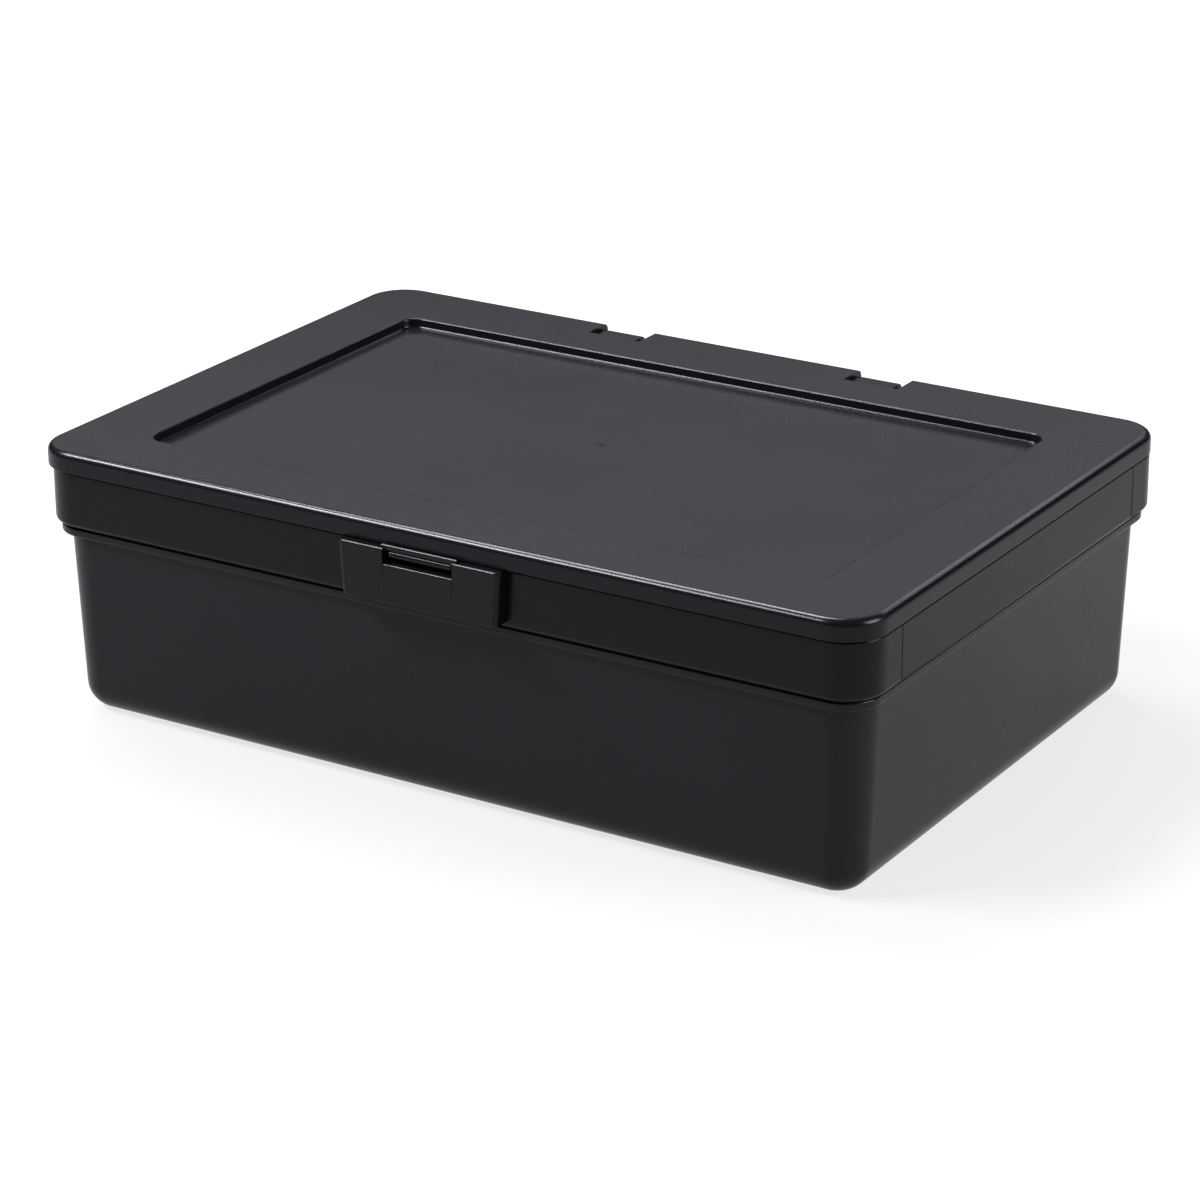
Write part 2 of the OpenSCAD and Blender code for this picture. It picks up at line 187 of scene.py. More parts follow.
def ring_rows(ring, path):
    """The ring drawn in by each inset of a path.

    Its rows hold half length, half width, radius, centre y, height, edge and inset.
    """
    inset, height, edge = path.T
    half_x, half_y = ring[0] - inset, ring[1] - inset
    radius = np.minimum(np.maximum(ring[2] - inset, SMALLEST), np.minimum(half_x, half_y))
    return np.column_stack([half_x, half_y, radius, np.full(len(path), ring[3]), height, edge, inset])


def between(first, last, shares):
    """Rows that pass in straight lines from one row to another, at the given shares of the way."""
    share = np.asarray(shares)[:, None]
    return first * (1 - share) + last * share


def notch_stops(half):
    """Stops of a notch of the given half length in the middle of a side."""
    return [(-half, PLAIN), (-half, NOTCH), (half, NOTCH), (half, PLAIN)]


def rounded_grid(rows, front=(), right=(), rear=(), left=()):
    """Grid of points (row, column) on rounded rectangles, and the kind of each column.

    Each row runs anticlockwise from above: along the front, round a quarter circle about the corner's
    centre, and so on. The stops of a side are (place along the side, kind), held inside its straight part.
    """
    half_x, half_y, r, mid, z = (rows[:, k:k + 1] for k in range(5))
    arc = np.linspace(0, math.pi / 2, CORNER_STEPS + 1)
    out = np.concatenate([[1.0], np.cos(arc), [0.0]])
    along = np.concatenate([[0.0], np.sin(arc), [1.0]])
    entry, leave = -np.eye(CORNER_STEPS + 3)[[0, -1]]
    flat_x, flat_y = half_x - r, half_y - r
    slip = (np.minimum(SUPPORT, 0.9 * flat_x), np.minimum(SUPPORT, 0.9 * flat_y))
    bound_x, bound_y = np.maximum(flat_x - 2 * SUPPORT, 0), np.maximum(flat_y - 2 * SUPPORT, 0)
    xs, ys, kinds = [], [], []
    for turn, stops in enumerate((front, right, rear, left)):
        place = np.array([s[0] for s in stops], float).reshape(1, -1)
        kinds += [s[1] for s in stops] + [PLAIN] * (CORNER_STEPS + 3)
        if turn in (0, 2):
            sign = -1 if turn == 0 else 1
            side_x = np.clip(place, -bound_x, bound_x)
            side_y = sign * half_y + 0 * place
        else:
            sign = 1 if turn == 1 else -1
            side_x = sign * half_x + 0 * place
            side_y = np.clip(place - mid, -bound_y, bound_y)
        xs.append(side_x + 0 * half_x)
        ys.append(side_y + 0 * half_x)
        # a corner in its own axes: u leaves along the side just passed, v along the next one
        u = r * along + entry * slip[turn % 2]
        v = r * out + leave * slip[1 - turn % 2]
        if turn == 0:
            xs.append(flat_x + u), ys.append(-(flat_y + v))
        elif turn == 1:
            xs.append(flat_x + v), ys.append(flat_y + u)
        elif turn == 2:
            xs.append(-(flat_x + u)), ys.append(flat_y + v)
        else:
            xs.append(-(flat_x + v)), ys.append(-(flat_y + u))
    x, y = np.hstack(xs), np.hstack(ys) + mid
    return np.stack([x, y, z + 0 * x], axis=-1), np.array(kinds)


def skin(name, grid, edge, loop=False, order=(0, 1, 2), capped=True):
    """Mesh over a grid of points whose columns close on themselves.

    The rows close on themselves too where loop is true; else the first and last rows are capped, or, where
    capped is false, have met along a line. Order says which of the grid's axes become x, y and z. The edge
    value of each row is kept as an attribute.
    """
    rows, columns = grid.shape[:2]
    index = np.arange(rows * columns).reshape(rows, columns)
    lower, upper = (index, np.roll(index, -1, 0)) if loop else (index[:-1], index[1:])
    quads = np.stack([lower, np.roll(lower, -1, 1), np.roll(upper, -1, 1), upper], -1).reshape(-1, 4)
    faces = quads.tolist()
    if capped and not loop:
        faces += [index[0][::-1].tolist(), index[-1].tolist()]
    mesh = bpy.data.meshes.new(name)
    mesh.from_pydata(grid.reshape(-1, 3)[:, list(order)] * MM, [], faces)
    worn = mesh.attributes.new("edge", "FLOAT", "POINT")
    worn.data.foreach_set("value", np.repeat(np.asarray(edge, np.float32), columns))
    work = bmesh.new()
    work.from_mesh(mesh)
    bmesh.ops.remove_doubles(work, verts=work.verts, dist=WELD)
    bmesh.ops.dissolve_degenerate(work, dist=WELD, edges=work.edges)
    bmesh.ops.recalc_face_normals(work, faces=work.faces)
    work.to_mesh(mesh)
    work.free()
    mesh.polygons.foreach_set("use_smooth", np.ones(len(mesh.polygons), bool))
    mesh.set_sharp_from_angle(angle=SHARP_ANGLE)
    mesh.update()
    piece = bpy.data.objects.new(name, mesh)
    bpy.context.scene.collection.objects.link(piece)
    return piece


def stack(name, rows, loop=False, **stops):
    """A stack of rounded rectangles as a closed piece."""
    grid, _ = rounded_grid(rows, **stops)
    return skin(name, grid, rows[:, 5], loop)


def prism(name, corners, low, high, order, edge=0.4, low_edge=None):
    """An outline of rounded corners (u, v, radius), carried along its axis from low to high.

    Near each end the outline is drawn in along its own normals by edge*(1-cos a) while it advances by
    edge*sin a, which rounds the end's edge. Order says which of (u, v, axis) become x, y and z.
    """
    shape = rounded_path(corners, closed=True)[:, :2]
    step = np.roll(shape, -1, 0) - shape
    step /= np.linalg.norm(step, axis=1)[:, None]
    normal = np.stack([step[:, 1], -step[:, 0]], 1)
    normal = normal + np.roll(normal, 1, 0)
    normal /= np.linalg.norm(normal, axis=1)[:, None]
    turning = np.cross(step, np.roll(step, -1, 0)).sum()
    normal *= 1 if turning > 0 else -1
    low_edge = edge if low_edge is None else low_edge
    layers = rounded_path([(low_edge + 0.5 * SMALLEST, low), (0, low, low_edge), (0, high, edge),
                           (edge + 0.5 * SMALLEST, high)])
    grid = shape[None] - normal[None] * layers[:, 0, None, None]
    grid = np.concatenate([grid, np.broadcast_to(layers[:, 1, None, None], (*grid.shape[:2], 1))], -1)
    return skin(name, grid, layers[:, 2], order=order)


# ---------------------------------------------------------------- materials

def new_group(name, inputs, outputs):
    """An empty shader node group with named float inputs (name, default) and outputs (name, type)."""
    group = bpy.data.node_groups.new(name, "ShaderNodeTree")
    for label, default in inputs:
        socket = group.interface.new_socket(label, in_out="INPUT", socket_type="NodeSocketFloat")
        socket.default_value = default
    for label, kind in outputs:
        group.interface.new_socket(label, in_out="OUTPUT", socket_type=kind)
    return group, group.nodes.new("NodeGroupInput"), group.nodes.new("NodeGroupOutput")


def math_node(tree, operation, *values):
    """A Math node whose inputs are numbers or sockets; returns its output."""
    node = tree.nodes.new("ShaderNodeMath")
    node.operation = operation
    for socket, value in zip(node.inputs, values):
        if isinstance(value, bpy.types.NodeSocket):
            tree.links.new(value, socket)
        else:
            socket.default_value = value
    return node.outputs[0]


def noise(tree, scale, detail, place, rough=0.5):
    """A Noise Texture's value on Object coordinates."""
    node = tree.nodes.new("ShaderNodeTexNoise")
    node.inputs["Detail"].default_value = detail
    node.inputs["Roughness"].default_value = rough
    tree.links.new(place, node.inputs["Vector"])
    if isinstance(scale, bpy.types.NodeSocket):
        tree.links.new(scale, node.inputs["Scale"])
    else:
        node.inputs["Scale"].default_value = scale
    return node.outputs["Fac"]


def moulded_grain():
    """Fine moulded grain with faint flow marks and dust; puts out a height, a tone and a gloss."""
    if "moulded_grain" in bpy.data.node_groups:
        return bpy.data.node_groups["moulded_grain"]
    tree, given, out = new_group(
        "moulded_grain",
        [("Grain Scale", 1800.0), ("Flow Scale", 14.0), ("Dust", 0.2)],
        [("Height", "NodeSocketFloat"), ("Tone", "NodeSocketFloat"), ("Gloss", "NodeSocketFloat")])
    place = tree.nodes.new("ShaderNodeTexCoord").outputs["Object"]
    fine = noise(tree, given.outputs["Grain Scale"], 2.0, place)
    flow = noise(tree, given.outputs["Flow Scale"], 3.0, place, 0.6)
    specks = noise(tree, 2600.0, 1.0, place)
    dust = math_node(tree, "MULTIPLY", math_node(tree, "GREATER_THAN", specks, 0.74), given.outputs["Dust"])
    tone = math_node(tree, "ADD", math_node(tree, "MULTIPLY", fine, 0.45),
                     math_node(tree, "MULTIPLY", flow, 0.55))
    tree.links.new(fine, out.inputs["Height"])
    tree.links.new(math_node(tree, "ADD", tone, dust), out.inputs["Tone"])
    tree.links.new(math_node(tree, "ADD", math_node(tree, "MULTIPLY", flow, 0.7),
                             math_node(tree, "MULTIPLY", fine, 0.3)), out.inputs["Gloss"])
    return tree


def rubbed_edge():
    """Where handling has polished an edge; puts out a mask.

    The mask is the piece's edge attribute times a noise times the amount.
    """
    if "rubbed_edge" in bpy.data.node_groups:
        return bpy.data.node_groups["rubbed_edge"]
    tree, given, out = new_group("rubbed_edge", [("Amount", 0.5), ("Patch Scale", 60.0)],
                                 [("Mask", "NodeSocketFloat")])
    edge = tree.nodes.new("ShaderNodeAttribute")
    edge.attribute_name = "edge"
    place = tree.nodes.new("ShaderNodeTexCoord").outputs["Object"]
    patch = noise(tree, given.outputs["Patch Scale"], 2.0, place)
    worn = math_node(tree, "MULTIPLY", edge.outputs["Fac"],
                     math_node(tree, "MULTIPLY", patch, given.outputs["Amount"]))
    tree.links.new(worn, out.inputs["Mask"])
    return tree


def group_node(tree, group, **values):
    """A node for a shader group, with its inputs set by name (underscores stand for spaces)."""
    node = tree.nodes.new("ShaderNodeGroup")
    node.node_tree = group
    for label, value in values.items():
        node.inputs[label.replace("_", " ")].default_value = value
    return node


def map_range(tree, value, given, wanted, kind="LINEAR"):
    """Spreads a value from the given span (low, high) onto the wanted one, and holds it inside."""
    node = tree.nodes.new("ShaderNodeMapRange")
    node.interpolation_type = kind
    tree.links.new(value, node.inputs["Value"])
    for label, number in zip(("From Min", "From Max", "To Min", "To Max"), (*given, *wanted)):
        node.inputs[label].default_value = number
    return node.outputs["Result"]


def tint(tree, share, dark, light):
    """A colour that passes from dark to light by a share."""
    node = tree.nodes.new("ShaderNodeMix")
    node.data_type = "RGBA"
    # a Mix node has A and B once for each kind of value; its colours are the sockets 6 and 7
    node.inputs[6].default_value = (*dark, 1.0)
    node.inputs[7].default_value = (*light, 1.0)
    tree.links.new(share, node.inputs[0])
    return node.outputs[2]


def new_material(name):
    """A new material, its node tree and its Principled shader."""
    made = bpy.data.materials.new(name)
    made.use_nodes = True
    return made, made.node_tree, next(n for n in made.node_tree.nodes if n.type == "BSDF_PRINCIPLED")


def finish(name, colour, rough, specular, grain, depth, rub, dust=0.2, metal=0.0):
    """A moulded or drawn finish: Principled, with tone, gloss and bump from the shared groups.

    Grain is the grain's scale, depth its height and rub how far the edges are polished. The tone runs
    from 18 % below the colour to 20 % above it, and the roughness 0.03 to either side of rough.
    """
    if name in bpy.data.materials:
        return bpy.data.materials[name]
    made, tree, shader = new_material(name)
    surface = group_node(tree, moulded_grain(), Grain_Scale=grain, Flow_Scale=14.0, Dust=dust)
    edges = group_node(tree, rubbed_edge(), Amount=rub, Patch_Scale=60.0)
    base = np.array(colour)
    toned = tint(tree, map_range(tree, surface.outputs["Tone"], NOISE_SPAN, (0.0, 1.0)),
                 base * 0.82, base * 1.2 + 0.0006)
    tree.links.new(toned, shader.inputs["Base Color"])
    gloss = map_range(tree, surface.outputs["Gloss"], NOISE_SPAN, (rough + 0.03, rough - 0.03))
    polished = math_node(tree, "MULTIPLY_ADD", edges.outputs["Mask"], -0.35 * rough, gloss)
    tree.links.new(polished, shader.inputs["Roughness"])
    bump = tree.nodes.new("ShaderNodeBump")
    bump.inputs["Strength"].default_value = 0.35
    bump.inputs["Distance"].default_value = depth
    tree.links.new(surface.outputs["Height"], bump.inputs["Height"])
    tree.links.new(bump.outputs["Normal"], shader.inputs["Normal"])
    shader.inputs["Metallic"].default_value = metal
    shader.inputs["Specular IOR Level"].default_value = specular
    return made


def floor_paper(colour, glow):
    """Pale matt paper with a faint mottle, which shines by itself with a painted glow though it is no lamp.

    Reflections see the glow as it is. The view sees it grow smoothly away from the middle, up to white, so
    the floor round the box is darker: painted shade.
    """
    made, tree, shader = new_material("floor_paper")
    spot = tree.nodes.new("ShaderNodeTexCoord").outputs["Object"]
    mottle = tint(tree, noise(tree, 6.0, 2.0, spot), np.array(colour) * 0.99, colour)
    tree.links.new(mottle, shader.inputs["Base Color"])
    shader.inputs["Roughness"].default_value = 0.9
    shader.inputs["Specular IOR Level"].default_value = 0.0
    reach = tree.nodes.new("ShaderNodeVectorMath")
    reach.operation = "LENGTH"
    tree.links.new(spot, reach.inputs[0])
    # painted light: the floor's own glow, lower near the middle as painted shade round the box
    painted_glow_seen = map_range(tree, reach.outputs["Value"], (GLOW_NEAR, GLOW_FAR), (glow + GLOW_LIFT, 1.0),
                        "SMOOTHSTEP")
    seen = tree.nodes.new("ShaderNodeMix")
    tree.links.new(tree.nodes.new("ShaderNodeLightPath").outputs["Is Camera Ray"], seen.inputs[0])
    seen.inputs[2].default_value = glow
    tree.links.new(painted_glow_seen, seen.inputs[3])
    shader.inputs["Emission Color"].default_value = (1.0, 1.0, 1.0, 1.0)
    tree.links.new(seen.outputs[0], shader.inputs["Emission Strength"])
    return made


def room_light(world, strength, dim):
    """A plain white room that is bright behind and above and dim in front; the view itself sees white.

    The light of a direction is the strength times a smooth step of its dot product with ROOM_TOWARD,
    from dim to 1.
    """
    world.use_nodes = True
    tree = world.node_tree
    sky = next(n for n in tree.nodes if n.type == "BACKGROUND")
    toward = tree.nodes.new("ShaderNodeVectorMath")
    toward.operation = "DOT_PRODUCT"
    toward.inputs[1].default_value = ROOM_TOWARD
    tree.links.new(tree.nodes.new("ShaderNodeTexCoord").outputs["Generated"], toward.inputs[0])
    ramp = map_range(tree, toward.outputs["Value"], ROOM_SPAN, (strength * dim, strength), "SMOOTHSTEP")
    seen = tree.nodes.new("ShaderNodeLightPath").outputs["Is Camera Ray"]
    tree.links.new(math_node(tree, "MAXIMUM", seen, ramp), sky.inputs["Strength"])
    sky.inputs["Color"].default_value = (1.0, 1.0, 1.0, 1.0)


def place(piece, body, slot, material, *nodes):
    """Gives a new piece its material, lets it ride on its body and stand for its CAD nodes. The slot is not
    used.
    """
    piece.data.materials.append(material)
    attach(piece, body)
    if nodes:
        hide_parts(*nodes)
    return piece


# ---------------------------------------------------------------- settings

def length(name, text, default):
    """A length setting in metres."""
    return FloatProperty(name=name, description=text, default=default, min=0.0, precision=5,
                         subtype="DISTANCE", unit="LENGTH")


def tone(name, text, default):
    """A colour setting, in linear light."""
    return FloatVectorProperty(name=name, description=text, default=default, size=3, min=0.0, max=1.0,
                               subtype="COLOR")


def share(name, text, default, top=1.0):
    """A plain number setting."""
    return FloatProperty(name=name, description=text, default=default, min=0.0, max=top, precision=3,
                         subtype="FACTOR" if top == 1.0 else "NONE")


class BoxShape(PropertyGroup):
    """Roundings that the maker may change."""
    lid_round: length("Lid Edge", "Rounding of the lid's outer top edge", 0.0022)
    recess_edge: length("Recess Edge", "Rounding at the top of the lid's sunk panel", 0.0006)
    recess_foot: length("Recess Foot", "Fillet at the foot of the lid's sunk panel", 0.0008)
    band_edge: length("Band Edge", "Rounding of the band's lower edge", 0.0016)
    groove: length("Groove Depth", "Depth of the fine lines on the band's ends", 0.0003)
    plate_edge: length("Latch Edge", "Rounding of the latch plate's upper and lower edges", 0.0005)


class BoxFinish(PropertyGroup):
    """Colours and gloss."""
    # the tub's and the band's blacks are one plastic in a lit and a shaded copy: painted light on the body,
    # painted shade on the band
    shell: tone("Shell Colour", "Moulded black of the tub", (0.0078, 0.0075, 0.0100))
    rim: tone("Rim Colour", "Moulded black of the band and the knuckles", (0.0028, 0.0028, 0.0038))
    lid: tone("Lid Colour", "Plastic of the lid", (0.0042, 0.0042, 0.0056))
    latch: tone("Latch Colour", "Plastic of the latch plate and the catch", (0.0045, 0.0045, 0.0058))
    tray: tone("Tray Colour", "Plastic of the lift-out tray", (0.012, 0.012, 0.014))
    pin: tone("Pin Colour", "Steel of the hinge pins", (0.45, 0.45, 0.46))
    rough: share("Roughness", "Roughness of the moulded shells", 0.27)
    latch_rough: share("Latch Roughness", "Roughness of the latch plate", 0.24)
    specular: share("Specular", "Specular level of the plastics", 0.19)
    grain: length("Grain Depth", "Depth of the fine moulded grain", 0.00002)
    rub: share("Rubbed Edges", "How polished the edges are", 0.6)


class BoxStudio(PropertyGroup):
    """Light and floor."""
    key: share("Key Light", "Power of the strip light at the upper left, in watts", 52.0, 1000.0)
    top: share("Top Light", "Power of the strip light overhead, in watts", 26.0, 1000.0)
    side: share("Side Light", "Power of the large light at the right, in watts", 26.0, 1000.0)
    edge: share("Edge Light", "Power of the strip light behind, in watts", 3.0, 1000.0)
    rear: share("Rear Light", "Power of the light at the rear left, in watts", 2.15, 1000.0)
    room: share("Room Light", "Strength of the light that comes from all around", 0.02, 10.0)
    dim: share("Room Dimness", "Share of the room light that is left in front", 0.5)
    # the floor's glow is painted light: nothing lights the floor from below
    glow: share("Floor Glow", "How much the floor shines by itself in the middle, as a lit table does", 0.55)
    floor: tone("Floor Colour", "Pale floor", (0.11, 0.11, 0.11))


def shell_finish():
    """The tub's finish, with its settings, in a lighter copy of the band's black: painted light on the body.
    """
    made = bpy.context.scene.box_finish
    return finish("shell_black", made.shell, made.rough, made.specular, 1700.0, made.grain, made.rub)


def lid_finish():
    """The lid's finish, with its settings."""
    made = bpy.context.scene.box_finish
    return finish("lid_black", made.lid, made.rough, made.specular, 1700.0, made.grain, made.rub)


def rim_finish():
    """The finish of the band and the knuckles, a little duller than the tub's, in a darker copy of the tub's
    black: painted shade on the band.
    """
    made = bpy.context.scene.box_finish
    return finish("rim_black", made.rim, made.rough, made.specular * 0.9, 1700.0, made.grain, made.rub)


def latch_finish():
    """The finish of the latch plate and the catch, with a finer grain."""
    made = bpy.context.scene.box_finish
    return finish("latch_black", made.latch, made.latch_rough, made.specular, 2200.0, made.grain * 0.5,
                  made.rub)


def tray_finish():
    """The tray's finish, with a coarser grain than the tub's."""
    made = bpy.context.scene.box_finish
    return finish("tray_black", made.tray, made.rough + 0.06, made.specular, 1500.0, made.grain * 1.5,
                  made.rub)


# ---------------------------------------------------------------- pieces

class MakeTub(Operator):
    """Tub: a drafted pan with a filleted foot, a stepped bead and a thin spigot that enters the band"""
    bl_idname = "toolbox.make_tub"
    bl_label = "Tub"

    def execute(self, context):
        lean, foot = 2.3, 9.0
        outside = ring_rows(WALL, rounded_path([
            (lean + foot + 4, 0), (lean, 0, foot), (0, SEAT_Z, 0.5), (-0.6, SEAT_Z)]))
        bead = ring_rows(BAND, rounded_path([
            (2.8, SEAT_Z), (1.7, SEAT_Z, 0.7), (1.7, STEP_Z, 0.5), (2.4, STEP_Z, 0.12),
            (2.4, SPIGOT_Z, 0.4), (4.4, SPIGOT_Z, 0.4), (4.4, SEAT_Z + 0.6)]))
        inside = ring_rows(WALL, rounded_path([
            (TUB_WALL, SEAT_Z - 0.4), (TUB_WALL + lean - 0.05, 2.6, foot - TUB_WALL),
            (TUB_WALL + foot + 4, 2.6)]))
        rows = np.vstack([outside, bead, inside])
        grid, kinds = rounded_grid(rows, front=notch_stops(WINDOW_HALF + 1))
        notched = (kinds[None] == NOTCH) & (grid[..., 2] > WINDOW_Z - 1)
        grid[..., 2][notched] = WINDOW_Z - 1
        place(skin("tub", grid, rows[:, 5]), "base", "tub_plastic", shell_finish(), "base_shell")
        return {"FINISHED"}


class MakeBand(Operator):
    """Band: the rim frame's skirt, deck, lip and tray ledge in one closed section carried round the box"""
    bl_idname = "toolbox.make_band"
    bl_label = "Band"

    def execute(self, context):
        shape = context.scene.box_shape
        skirt = ring_rows(BAND, rounded_path([
            (2.8, SPIGOT_Z), (FRAME_WALL, SPIGOT_Z, 0.2), (FRAME_WALL, SKIRT_Z, 0.3),
            (0, SKIRT_Z, shape.band_edge / MM), (0, DECK_Z, 0.7), (1.3, DECK_Z)]))
        lip = ring_rows(LIP, rounded_path([
            (-0.6, DECK_Z), (0, DECK_Z, 0.25), (0, LIP_Z, 0.5), (FRAME_WALL, LIP_Z, 0.5),
            (FRAME_WALL, LEDGE_Z, 0.3), (FRAME_WALL + 4, LEDGE_Z, 0.4), (FRAME_WALL + 4, LEDGE_Z - 2.2, 0.3),
            (0, LEDGE_Z - 2.2, 0.3), (0, SPIGOT_Z, 0.2), (-0.4, SPIGOT_Z)]))
        deck = between(skirt[-1], lip[0], np.linspace(0, 1, 18)[1:-1])
        rows = np.vstack([skirt, deck, lip])
        count = np.arange(len(rows))
        top = (count >= len(skirt) // 2) & (count < len(skirt) + len(deck) + len(lip) // 2)
        top &= rows[:, 6] < FRAME_WALL / 2 + 8 * (count >= len(skirt))
        beside = ((-GROOVE_HALF, PLAIN), (0, GROOVE), (GROOVE_HALF, PLAIN))
        grid, kinds = rounded_grid(
            rows, front=notch_stops(WINDOW_HALF),
            right=[(side * GROOVE_Y + d, k) for side in (-1, 1) for d, k in beside],
            left=[(side * GROOVE_Y - d, k) for side in (1, -1) for d, k in beside])
        x, y, z = grid[..., 0], grid[..., 1], grid[..., 2]
        # the catch's room: the front is cut down to the window's foot, and a thin floor closes it
        room = (kinds[None] == NOTCH) & (y < LIP[3] - LIP[1] + 0.02)
        z[room & top[:, None]] = np.minimum(z, WINDOW_Z)[room & top[:, None]]
        z[room & ~top[:, None]] = np.minimum(z, WINDOW_Z - 0.8)[room & ~top[:, None]]
        # the hinge trough: a circle about the hinge's axis is taken out of the deck
        away = np.abs(y - HINGE_Y)
        sunk = HINGE_Z - np.sqrt(np.maximum(TROUGH_R ** 2 - away ** 2, 0))
        trough = top[:, None] & (away < TROUGH_R) & (z > SPIGOT_Z + 0.5)
        z[trough] = np.minimum(z, sunk)[trough]
        line = (kinds[None] == GROOVE) & (z > SKIRT_Z + 1) & (np.abs(x) > BAND[0] - 0.1)
        x[line] -= np.sign(x[line]) * shape.groove / MM
        place(skin("band", grid, rows[:, 5], loop=True), "base", "frame_plastic", rim_finish(), "rim_frame")
        for side in (-1, 1):
            middle = side * HINGE_X - KNUCKLE_SHIFT
            low_z, high_z = HINGE_Z - TROUGH_R - SINK, HINGE_Z + KNUCKLE_R
            knuckle = prism(f"hinge_knuckle_{'left' if side < 0 else 'right'}", [
                (HINGE_Y - KNUCKLE_LONG, low_z), (HINGE_Y + KNUCKLE_R, low_z),
                (HINGE_Y + KNUCKLE_R, high_z, KNUCKLE_R - 0.02), (HINGE_Y - 1.5, high_z, 2.0),
                (HINGE_Y - KNUCKLE_LONG, high_z - 0.6, 0.8)],
                middle - KNUCKLE_HALF, middle + KNUCKLE_HALF, (2, 0, 1), edge=0.35)
            place(knuckle, "base", "frame_plastic", rim_finish())
        return {"FINISHED"}


class MakeLid(Operator):
    """Lid: a shallow cap with a rounded rim, a sunk panel, notches for the knuckles and a gate mark"""
    bl_idname = "toolbox.make_lid"
    bl_label = "Lid"

    def execute(self, context):
        shape = context.scene.box_shape
        under_panel = ring_rows(PANEL, rounded_path([
            (8, PANEL_Z - LID_WALL), (-LID_WALL, PANEL_Z - LID_WALL, 0.8), (-LID_WALL, UNDER_Z, 0.5),
            (-LID_WALL - 2, UNDER_Z)]))
        step = LID[1] + LID[3] - NOTCH_Y + LID_WALL
        cap = ring_rows(LID, np.vstack([
            [(step + 0.05, UNDER_Z, 0.0), (step, UNDER_Z, 0.0)],
            rounded_path([(5, UNDER_Z), (LID_WALL, UNDER_Z, 0.8), (LID_WALL, CAP_Z, 0.3), (0, CAP_Z, 0.35),
                          (0, TOP_Z, shape.lid_round / MM), (5, TOP_Z)])]))
        recess = ring_rows(PANEL, rounded_path([
            (-1.6, TOP_Z), (0, TOP_Z, shape.recess_edge / MM), (0.25, PANEL_Z, shape.recess_foot / MM),
            (8, PANEL_Z)]))
        rows = np.vstack([under_panel, cap, recess])
        count = np.arange(len(rows))
        capped = (count >= len(under_panel)) & (count < len(under_panel) + len(cap))
        inner = (capped & (rows[:, 6] > LID_WALL / 2) & (rows[:, 4] < UNDER_Z + 0.01))[:, None]
        beside = ((NOTCH_HALF + LUG_LONG, PLAIN), (NOTCH_HALF + LUG_LONG, LUG), (NOTCH_HALF, LUG),
                  (NOTCH_HALF, NOTCH), (-NOTCH_HALF, NOTCH), (-NOTCH_HALF, LUG),
                  (-NOTCH_HALF - LUG_LONG, LUG), (-NOTCH_HALF - LUG_LONG, PLAIN))
        stops = [(side * HINGE_X + x, k) for side in (1, -1) for x, k in beside]
        grid, kinds = rounded_grid(rows, rear=stops)
        y, z = grid[..., 1], grid[..., 2]
        # the rear's lower edge follows a circle about the hinge's axis
        low = (z < HINGE_Z) & (y > HINGE_Y)
        swing = HINGE_Y + np.sqrt(np.maximum(BAR_R ** 2 - (HINGE_Z - z) ** 2, 0))
        y[low] = np.minimum(y, swing)[low]
        lug, notch = kinds[None] == LUG, kinds[None] == NOTCH
        thick = inner & (lug | notch) & (rows[:, 6] < step + 0.02)[:, None] & (y > NOTCH_Y - LID_WALL - 0.02)
        z[thick] = np.minimum(z, LUG_Z)[thick]
        solid = inner & lug & (y > LUG_Y)
        y[solid] = LUG_Y
        cut = notch & (y > NOTCH_Y)
        y[cut] = NOTCH_Y
        z[cut] = np.maximum(z, LUG_Z)[cut]
        place(skin("lid", grid, rows[:, 5]), "lid", "lid_plastic", lid_finish(), "lid_shell")

        gate = (1.7, 1.7, 1.69, PANEL[3] + 2.0)
        mark = stack("lid_gate_mark", ring_rows(gate, rounded_path([
            (0, PANEL_Z - SINK), (0, PANEL_Z + 0.12, 0.08), (0.55, PANEL_Z + 0.12, 0.08),
            (0.65, PANEL_Z - 0.08, 0.05), (1.0, PANEL_Z - 0.08, 0.05), (1.1, PANEL_Z + 0.22, 0.1),
            (1.5, PANEL_Z + 0.22)])))
        place(mark, "lid", "lid_plastic", lid_finish())
        return {"FINISHED"}


